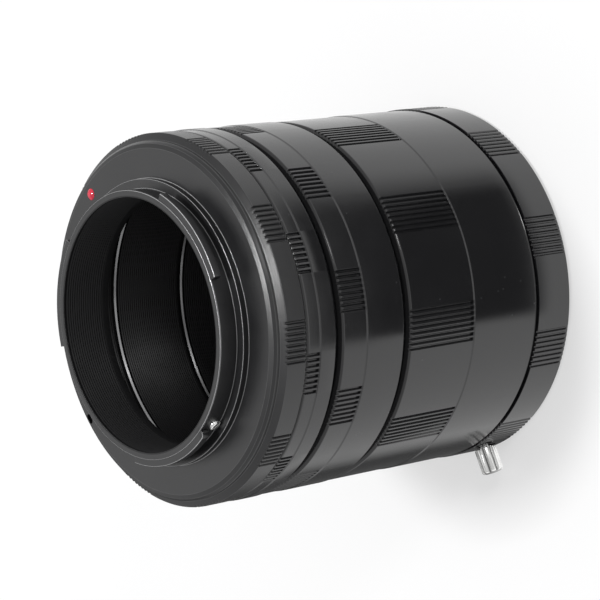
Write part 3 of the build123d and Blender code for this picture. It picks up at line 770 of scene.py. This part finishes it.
class TUBE_OT_camera_mount(bpy.types.Operator):
    """Turn and mill the camera ring with its flange, barrel and three lugs"""
    bl_idname = "tube_stack.camera_mount"
    bl_label = "Camera mount"

    def execute(self, context):
        scene = context.scene
        rings, grip = scene.ring_sizes, scene.grip_sizes
        inside, bayonet = scene.inside_sizes, scene.bayonet_sizes
        bm = new_mesh()
        low = CAMERA_LOW
        flange = low + bayonet.flange_height
        soft = rings.edge_softness
        band = rings.camera_band_radius
        shallow = bayonet.flange_radius + bayonet.shallow_out
        shallow_low = flange - bayonet.shallow_down
        edge = shallow + bayonet.steep_out
        steep_low = shallow_low - bayonet.steep_down
        flare_top = steep_low - bayonet.edge_length
        flare_low = flare_top - bayonet.flare_length
        fine = rings.fine_bevel
        # The ring's rounded corners get a small share of uncoated aluminium: partly real rubbing, partly
        # painted highlight
        outline = soften([
            (band - 2 * fine, low, 0.0),
            (band - fine, low, soft),
            (band, low + fine, soft),
            (band, flare_low, soft),
            (edge + 0.0001, flare_top, soft),
            (edge, flare_top + 0.00006, 0.0),
            (edge, steep_low, soft),
            (shallow, shallow_low, soft),
            (bayonet.flange_radius, flange, soft),
            (bayonet.flange_radius - fine, flange, 0.0),
        ], 0.2)
        levels = [(*point, point[1] < flare_top and i > 0) for i, point in enumerate(outline)]
        first_flare = next(i for i, point in enumerate(outline) if point[1] > flare_low)
        foot, head = outline[first_flare], outline[first_flare + 1]
        runs = [(*foot.lerp(head, part), True) for part in (0.1, 0.2, 0.3, 0.45)]
        levels = levels[:first_flare + 1] + runs + levels[first_flare + 1:]
        skin(bm, grip_marks(grip, band, grip.camera_turn), levels, band, grip.depth)
        # The register's concave foot fillet gets a painted highlight only; its rounded top edge gets uncoated
        # aluminium that is partly real rubbing and partly painted highlight
        face = soften([
            (bayonet.register_radius + 2 * bayonet.foot_fillet, flange, 0.0),
            (bayonet.register_radius, flange, bayonet.foot_fillet),
            (bayonet.register_radius, flange + bayonet.register_height, soft * 1.5),
            (bayonet.register_radius - 0.0003, flange + bayonet.register_height, 0.0),
        ], 1.0)
        lathe(bm, face)
        close_face(bm, flange, bayonet.register_radius, bayonet.flange_radius)
        self.barrel(bm, bayonet, flange)
        root = rings.socket_radius + inside.thread_depth
        sleeve_low = low + bayonet.sleeve_gap
        socket_top = low + rings.socket_depth
        ridge_start = RIM - 0.0004
        bore = [Vector((bayonet.bore_radius, RIM - bayonet.rim_bevel, 0.0))]
        bore += ridges(bayonet.bore_radius, ridge_start, sleeve_low + bayonet.smooth_length,
                       inside.ridge_pitch, inside.ridge_depth)
        rest = soften([
            (bayonet.bore_radius, sleeve_low + bayonet.smooth_length, 0.0),
            (bayonet.bore_radius, sleeve_low, soft),
            (bayonet.sleeve_radius, sleeve_low, soft),
            (bayonet.sleeve_radius, socket_top, 0.0),
            (root, socket_top, soft),
            (root, low, 0.0),
        ])
        lathe(bm, bore + rest[1:])
        close_face(bm, flange + bayonet.register_height,
                   bayonet.barrel_radius - 1e-6, bayonet.register_radius)
        close_face(bm, low, rings.socket_radius, band)
        round_piece(bm, "camera_mount_turned", "anodised_satin", "camera_mount", "camera_mount",
                    [female_thread(rings, inside, low)], self.wells(bayonet, flange))
        return {"FINISHED"}

    def wells(self, bayonet, flange):
        """Cutter for the bead's seat and for the lock slot, which breaks into the flange's bevel."""
        bm = bmesh.new()
        seat = bayonet.bead_radius + 0.00004
        bmesh.ops.translate(bm, verts=plug(bm, seat, 0.0018, 64), vec=(bayonet.bead_ring, 0.0, flange))
        slot = plug(bm, bayonet.slot_radial / 2, 2 * bayonet.slot_depth, 48)
        run = (bayonet.slot_run - bayonet.slot_radial) / 2
        for vert in slot:
            vert.co.y += run if vert.co.y > 0 else -run
        bmesh.ops.transform(bm, matrix=upright(bayonet.slot_turn, bayonet.slot_ring, flange), verts=slot)
        return cutter(bm, "flange_wells")

    def barrel(self, bm, bayonet, flange):
        """Raise the barrel's outer wall, with its lugs, from the register's face, and close the rim."""
        marks = lug_marks()
        foot = flange + bayonet.register_height
        lug_low = RIM - bayonet.lug_thickness
        bevel = bayonet.rim_bevel
        tall = bayonet.lug_radius - bayonet.barrel_radius
        radius = bayonet.barrel_radius
        fillet = bayonet.foot_fillet
        lug_top = RIM - bayonet.rim_step
        # Third column: share of uncoated aluminium. The concave foot fillet gets a painted highlight only;
        # the lug's and rim's outer edges get uncoated aluminium that is partly real rubbing and partly
        # painted highlight.
        levels = [
            (radius + fillet, foot, 0.0, 0.0),
            (radius + fillet * 0.25, foot + fillet * 0.25, 0.7, 0.0),
            (radius, foot + fillet, 0.0, 0.0),
            (radius, lug_low, 0.0, 0.0),
            (radius, lug_low + 0.00001, 0.0, tall - bevel / 2),
            (radius, lug_low + bevel / 2, 0.0, tall),
            (radius, lug_top - bevel, 0.0, tall),
            (radius, lug_top - bevel * 0.3, 1.0, tall - bevel * 0.3),
            (radius, lug_top, 0.0, tall - bevel),
            (radius, lug_top + 0.00001, 0.0, 0.0),
            (radius, RIM - bevel * 0.8, 0.0, 0.0),
            (radius - bevel * 0.25, RIM - bevel * 0.25, 1.0, 0.0),
            (radius - bevel * 0.8, RIM, 0.0, 0.0),
        ]
        loft(bm, marks, levels, lambda reach, lug, part: reach + lug * part)
        # The inner rim edge gets a little uncoated aluminium: partly real rubbing, partly painted highlight
        rim_inner = [(bayonet.bore_radius, RIM - bevel, 0.0),
                     (bayonet.bore_radius + bevel * 0.3, RIM - bevel * 0.3, 0.15),
                     (bayonet.bore_radius + bevel, RIM, 0.0)]
        lathe(bm, rim_inner)
        close_face(bm, RIM, bayonet.bore_radius, bayonet.barrel_radius)


class TUBE_OT_lens_ring(bpy.types.Operator):
    """Turn and knurl the lens ring and cut the release post's slot"""
    bl_idname = "tube_stack.lens_ring"
    bl_label = "Lens ring"

    def execute(self, context):
        scene = context.scene
        rings, grip = scene.ring_sizes, scene.grip_sizes
        inside, lens = scene.inside_sizes, scene.lens_sizes
        bm = new_mesh()
        low, high = LENS_FACE, TUBE_28_LOW
        soft = rings.edge_softness
        outer = rings.lens_ring_radius
        fine = rings.fine_bevel
        start = outer - rings.joint_depth - fine
        outline = soften([
            (start, low, 0.0),
            (outer - lens.face_bevel, low, soft),
            (outer, low + lens.face_bevel, soft),
            (outer, high - rings.joint_run, soft),
            (outer - rings.joint_depth, high - rings.joint_run, soft),
            (start, high, 0.0),
        ])
        levels = [(*point, True) for point in outline]
        lower = soften([
            (rings.bore_radius, lens.baffle_top, 0.0),
            (lens.baffle_radius, lens.baffle_top, soft),
            (lens.baffle_radius, lens.baffle_low, soft),
            (lens.pocket_radius, lens.baffle_low, soft),
            (lens.pocket_radius, lens.ledge_height, soft),
            (lens.hub_radius, lens.ledge_height, soft),
            (lens.hub_radius, lens.recess_depth, soft),
            (lens.recess_radius, lens.recess_depth, soft),
            (lens.recess_radius, low, 0.0),
        ])
        spigot = screw_end(rings, inside, high)
        wall = ridges(rings.bore_radius, high + rings.spigot_length - rings.tip_length,
                      lens.baffle_top + 0.0003, inside.ridge_pitch, inside.ridge_depth)
        lathe(bm, spigot + wall + lower)
        skin(bm, grip_marks(grip, outer, grip.lens_turn), levels, outer, grip.depth)
        close_face(bm, low, lens.recess_radius - 1e-6, outer)
        close_face(bm, high, rings.spigot_radius - 0.001, outer)
        round_piece(bm, "lens_ring_turned", "anodised_gloss", "lens_mount", "lens_ring",
                    [male_thread(rings, inside, high)], self.slot_tool(lens))
        return {"FINISHED"}

    def slot_tool(self, lens):
        """Slot-shaped cutter that reaches from the lock pin's hole out of the ring's side."""
        bm = bmesh.new()
        for vert in plug(bm, lens.neck_radius + lens.slot_clearance, 0.004, 32):
            vert.co.x += lens.slot_low if vert.co.x > 0 else -lens.slot_high
        placing = sideways(lens.lock_turn, lens.pin_ring + 0.0025, lens.post_height)
        bmesh.ops.transform(bm, matrix=placing, verts=bm.verts)
        return cutter(bm, "post_slot")


# A flute's hollow takes up the first parts of its share of the turn, and a plain land the rest
FLUTE_PARTS = 12
FLUTE_HOLLOW = 7.44
FLUTE = [(part / FLUTE_PARTS, sin(pi * (part / FLUTE_HOLLOW)) ** 0.75 if part < FLUTE_HOLLOW else 0.0)
         for part in range(FLUTE_PARTS)]


class TUBE_OT_release_post(bpy.types.Operator):
    """Mill the fluted release post"""
    bl_idname = "tube_stack.release_post"
    bl_label = "Release post"

    def execute(self, context):
        lens = context.scene.lens_sizes
        outer = context.scene.ring_sizes.lens_ring_radius
        bm = new_mesh()
        marks = []
        for flute in range(lens.flutes):
            start = tau * flute / lens.flutes
            marks += [(start + tau / lens.flutes * part, deep) for part, deep in FLUTE]
        base = outer + lens.post_gap
        head = lens.post_radius
        levels = [
            (lens.neck_radius, lens.pin_ring + 0.00002, 0.0, 0.0),
            (lens.neck_radius, base - 0.00001, 0.0, 0.0),
            (head - 0.00030, base, 0.0, 0.0),
            (head - 0.00012, base + 0.00006, 0.0, 0.3),
            (head, base + 0.00022, 0.0, 1.0),
            (head, lens.post_tip - 0.00040, 0.0, 1.0),
            (head - 0.00008, lens.post_tip - 0.00018, 0.0, 0.85),
            (head - 0.00030, lens.post_tip - 0.00003, 0.0, 0.4),
            (head - 0.00048, lens.post_tip, 0.0, 0.0),
        ]
        loft(bm, marks, levels, lambda reach, fluted, deep: reach - lens.flute_depth * deep * fluted)
        bmesh.ops.holes_fill(bm, edges=[e for e in bm.edges if e.is_boundary], sides=0)
        bmesh.ops.transform(bm, matrix=sideways(lens.lock_turn, 0.0, lens.post_height), verts=bm.verts)
        round_piece(bm, "release_post_fluted", "bright_steel", "lens_lock", "release_post", [])
        return {"FINISHED"}


BEAD_DEPTH = 0.0008


class TUBE_OT_beads(bpy.types.Operator):
    """Set the two red index beads"""
    bl_idname = "tube_stack.beads"
    bl_label = "Index beads"

    def execute(self, context):
        rings, bayonet, lens = context.scene.ring_sizes, context.scene.bayonet_sizes, context.scene.lens_sizes
        flange = CAMERA_LOW + bayonet.flange_height
        front = Matrix.Translation((bayonet.bead_ring, 0.0, flange))
        side = sideways(lens.bead_turn, rings.lens_ring_radius, lens.bead_height)
        self.bead("camera_bead_domed", bayonet, front, "camera_mount", "camera_index_bead")
        self.bead("lens_bead_domed", bayonet, side, "lens_mount", "lens_index_bead")
        return {"FINISHED"}

    def bead(self, name, bayonet, placing, body, node):
        """Domed stud with its rim at the origin."""
        bm = new_mesh()
        radius, dome = bayonet.bead_radius, bayonet.bead_dome
        ball = (radius ** 2 + dome ** 2) / (2 * dome)
        opening = atan2(radius, ball - dome)
        arc = [(ball * sin(opening * i / ARC_STEPS), dome - ball + ball * cos(opening * i / ARC_STEPS), 0.0)
               for i in range(ARC_STEPS + 1)]
        lathe(bm, arc + [(radius, -BEAD_DEPTH, 0.0), (0.0, -BEAD_DEPTH, 0.0)], 64)
        bmesh.ops.transform(bm, matrix=placing, verts=bm.verts)
        round_piece(bm, name, "red_enamel", body, node, [])


SCREW_DEPTH = 0.0009
DRIVER_SLOT_TURN = radians(50)
DRIVER_SLOT_WIDTH = 0.00026
DRIVER_SLOT_DEPTH = 0.00025


class TUBE_OT_stop_screw(bpy.types.Operator):
    """Turn and slot the bayonet's stop screw"""
    bl_idname = "tube_stack.stop_screw"
    bl_label = "Stop screw"

    def execute(self, context):
        bayonet = context.scene.bayonet_sizes
        bm = new_mesh()
        radius, head = bayonet.stop_radius, bayonet.stop_head
        foot = 0.00012
        shank = radius * 0.68
        outline = [(0.0, -SCREW_DEPTH, 0.0), (shank, -SCREW_DEPTH, 0.0),
                   (shank, -foot, 0.0), (radius, -foot, 0.0)]
        for step in range(ARC_STEPS + 1):
            turned = pi / 2 * step / ARC_STEPS
            outline.append((radius * (0.5 + 0.5 * cos(turned)), head * (0.35 + 0.65 * sin(turned)), 0.0))
        lathe(bm, outline + [(0.0, head, 0.0)], 48)
        height = CAMERA_LOW + bayonet.flange_height + bayonet.stop_height
        placing = sideways(bayonet.stop_turn, bayonet.barrel_radius, height)
        bmesh.ops.transform(bm, matrix=placing, verts=bm.verts)
        groove = bmesh.new()
        bmesh.ops.create_cube(groove, size=1.0)
        slot = placing @ Matrix.Translation((0.0, 0.0, head)) @ Matrix.Rotation(DRIVER_SLOT_TURN, 4, "Z")
        slot = slot @ Matrix.Diagonal((3 * radius, DRIVER_SLOT_WIDTH, 2 * DRIVER_SLOT_DEPTH, 1.0))
        bmesh.ops.transform(groove, matrix=slot, verts=groove.verts)
        round_piece(bm, "stop_screw_slotted", "bright_steel", "camera_mount", "stop_screw", [],
                    cutter(groove, "driver_slot"))
        return {"FINISHED"}


class TUBE_OT_small_parts(bpy.types.Operator):
    """Give the plate, its screws, the springs and the lock pin their finishes"""
    bl_idname = "tube_stack.small_parts"
    bl_label = "Plate, screws and springs"

    def execute(self, context):
        slots = {}
        for number in range(1, 5):
            slots["plate_screw_%d" % number] = "black_steel"
        for number in range(1, 4):
            slots["leaf_spring_%d" % number] = "spring_steel"
        slots["lock_spring"] = "spring_steel"
        slots["lock_pin"] = "pin_steel"
        slots["bayonet_plate"] = "anodised_satin"
        for node, slot_name in slots.items():
            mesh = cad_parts[node].data
            for index in range(len(mesh.materials)):
                mesh.materials[index] = MATERIALS[slot_name]
        return {"FINISHED"}


# Stage

CAMERA_PLACE = Vector((-0.161668, -0.266682, 0.286674))
CAMERA_RIGHT = Vector((-0.448945, -0.457233, -0.767715))
CAMERA_UP = Vector((0.797617, -0.592363, -0.113634))
CAMERA_LENS = 144.936
SENSOR_WIDTH = 36.0
WORLD_STRENGTH = 0.55
FLOOR_REACH = 3.0
FLOOR_DROP = 0.00002
# Each lamp's azimuth and elevation in degrees, its distance and width in metres, and its power in watts
LAMPS = {
    "overhead": (-20, 80, 1.2, 0.20, 7.2),
    "front": (-92, 30, 1.2, 0.20, 1.6),
    "backdrop": (59, 40, 1.2, 0.7, 0.55),
}
# Painted dark reflection: the near dark sector, which only glossy and transmission rays see, lies past a
# straight edge, between two radii, and fades out with the angle at its apex
NEAR_EDGE = (-0.02165, -0.0209)
NEAR_EDGE_NORMAL = (0.4894, -0.8721)
NEAR_EDGE_BLUR = 0.002
NEAR_APEX = (-0.0044, -0.0231)
NEAR_FADE = (radians(-74), radians(-38))
NEAR_START = (0.0345, 0.040)
NEAR_END = (0.094, 0.108)
NEAR_DARKNESS = 0.93
# Painted shadow in reflections: the far dark sector, which only glossy and transmission rays see, lies behind
# the object, between two angles at its apex
FAR_APEX = (-0.0293, 0.0014)
FAR_START = (radians(30), radians(48))
FAR_END = (radians(100), radians(126))
FAR_DARKNESS = 0.88
# Painted shadow: under the object the floor is dark for glossy and transmission rays, out to these radii
PAINTED_CONTACT_SHADOW = (0.0255, 0.0275)


def floor_material(rgb):
    """Pale floor that keeps the object's shadow. Glossy rays see it as a lit sweep with painted shade: a dark
    sector on the camera's side painted as a dark reflection, a dark sector behind the object painted as its
    shadow, and painted shadow under the object.
    """
    recipe = Recipe("pale_floor")
    where = recipe.add("ShaderNodeTexCoord", output="Object")
    x, y = recipe.add("ShaderNodeSeparateXYZ", None, {0: where}, (0, 1))
    cloudy = recipe.noise(where, 9.0, 3.0)
    tone = recipe.mix(cloudy, opaque(rgb), opaque([min(1.0, 1.03 * c) for c in rgb]))
    plain = recipe.add("ShaderNodeBsdfDiffuse", None, {"Color": tone})
    past_edge = (x - NEAR_EDGE[0]) * NEAR_EDGE_NORMAL[0] + (y - NEAR_EDGE[1]) * NEAR_EDGE_NORMAL[1]
    edge = recipe.ramp(past_edge, -NEAR_EDGE_BLUR, NEAR_EDGE_BLUR)
    turned = recipe.math("ARCTAN2", y - NEAR_APEX[1], x - NEAR_APEX[0])
    near = edge * recipe.ramp(turned, *NEAR_FADE, 1.0, 0.0)
    behind = recipe.math("ARCTAN2", y - FAR_APEX[1], x - FAR_APEX[0])
    far = recipe.ramp(behind, *FAR_START) * recipe.ramp(behind, *FAR_END, 1.0, 0.0)
    reach = (x * x + y * y) ** 0.5
    near = near * recipe.ramp(reach, *NEAR_START) * recipe.ramp(reach, *NEAR_END, 1.0, 0.0)
    # Painted shade for reflections: the sweep is darkened in the two sectors and under the object
    sweep = (1.0 - near * NEAR_DARKNESS - far * FAR_DARKNESS) * recipe.ramp(reach, *PAINTED_CONTACT_SHADOW)
    rays = ("Is Camera Ray", "Is Glossy Ray", "Is Transmission Ray")
    camera, glossy, through = recipe.add("ShaderNodeLightPath", output=rays)
    mirrored = recipe.math("MAXIMUM", glossy, through)
    glow = recipe.add("ShaderNodeEmission", None, {"Color": (1.0, 1.0, 1.0, 1.0),
                                                   "Strength": camera + mirrored * sweep})
    blend = recipe.add("ShaderNodeMixShader", None, {0: camera * 0.5 + mirrored, 1: plain, 2: glow})
    recipe.add("ShaderNodeOutputMaterial", {"target": "ALL"}, {"Surface": blend})
    return recipe.material


def area_light(name, azimuth, elevation, distance, width, power):
    """Soft square lamp aimed at the middle of the object, placed by angle and distance."""
    target = Vector((0.0, 0.0, RIM / 2))
    azimuth, elevation = radians(azimuth), radians(elevation)
    out = Vector((cos(elevation) * cos(azimuth), cos(elevation) * sin(azimuth), sin(elevation)))
    lamp = bpy.data.lights.new(name, "AREA")
    lamp.shape = "RECTANGLE"
    lamp.size, lamp.size_y = width, width
    lamp.energy = power
    lit = bpy.data.objects.new(name, lamp)
    lit.location = target + out * distance
    lit.rotation_euler = out.to_track_quat("Z", "Y").to_euler()
    bpy.context.scene.collection.objects.link(lit)


class TUBE_OT_stage(bpy.types.Operator):
    """Set the pale floor, the soft lights and the camera"""
    bl_idname = "tube_stack.stage"
    bl_label = "Stage"

    def execute(self, context):
        scene = context.scene
        scene.view_settings.view_transform = "Standard"
        bm = bmesh.new()
        bmesh.ops.create_grid(bm, x_segments=1, y_segments=1, size=FLOOR_REACH)
        mesh = bpy.data.meshes.new("floor")
        bm.to_mesh(mesh)
        bm.free()
        floor = bpy.data.objects.new("floor", mesh)
        floor.location.z = -FLOOR_DROP
        scene.collection.objects.link(floor)
        mesh.materials.append(floor_material(scene.finishes.floor))
        for name, placing in LAMPS.items():
            area_light(name, *placing)
        world = bpy.data.worlds.new("studio")
        world.use_nodes = True
        background = world.node_tree.nodes["Background"].inputs
        background["Color"].default_value = (1.0, 1.0, 1.0, 1.0)
        background["Strength"].default_value = WORLD_STRENGTH
        scene.world = world
        lens = bpy.data.cameras.new("camera")
        lens.lens = CAMERA_LENS
        lens.sensor_width = SENSOR_WIDTH
        lens.clip_start = 0.01
        view = bpy.data.objects.new("camera", lens)
        back = CAMERA_RIGHT.cross(CAMERA_UP)
        axes = Matrix((CAMERA_RIGHT, CAMERA_UP, back)).transposed().to_4x4()
        view.matrix_world = Matrix.Translation(CAMERA_PLACE) @ axes
        scene.collection.objects.link(view)
        scene.camera = view
        return {"FINISHED"}


class TUBE_PT_panel(bpy.types.Panel):
    """Lists the operators that dress the extension tube"""
    bl_idname = "TUBE_PT_panel"
    bl_label = "Extension tube"
    bl_space_type = "VIEW_3D"
    bl_region_type = "UI"
    bl_category = "Extension tube"

    def draw(self, context):
        for operator in OPERATORS:
            self.layout.operator(operator.bl_idname)


OPERATORS = (
    TUBE_OT_stage,
    TUBE_OT_camera_mount,
    TUBE_OT_tubes,
    TUBE_OT_lens_ring,
    TUBE_OT_release_post,
    TUBE_OT_beads,
    TUBE_OT_stop_screw,
    TUBE_OT_small_parts,
)


def register():
    for name, group in SETTINGS.items():
        bpy.utils.register_class(group)
        setattr(bpy.types.Scene, name, bpy.props.PointerProperty(type=group))
    for operator in OPERATORS:
        bpy.utils.register_class(operator)
    bpy.utils.register_class(TUBE_PT_panel)


def unregister():
    bpy.utils.unregister_class(TUBE_PT_panel)
    for operator in reversed(OPERATORS):
        bpy.utils.unregister_class(operator)
    for name, group in SETTINGS.items():
        delattr(bpy.types.Scene, name)
        bpy.utils.unregister_class(group)


def main():
    register()
    make_materials(bpy.context.scene)
    for operator in OPERATORS:
        group, action = operator.bl_idname.split(".")
        getattr(getattr(bpy.ops, group), action)()


if __name__ == "__main__":
    main()
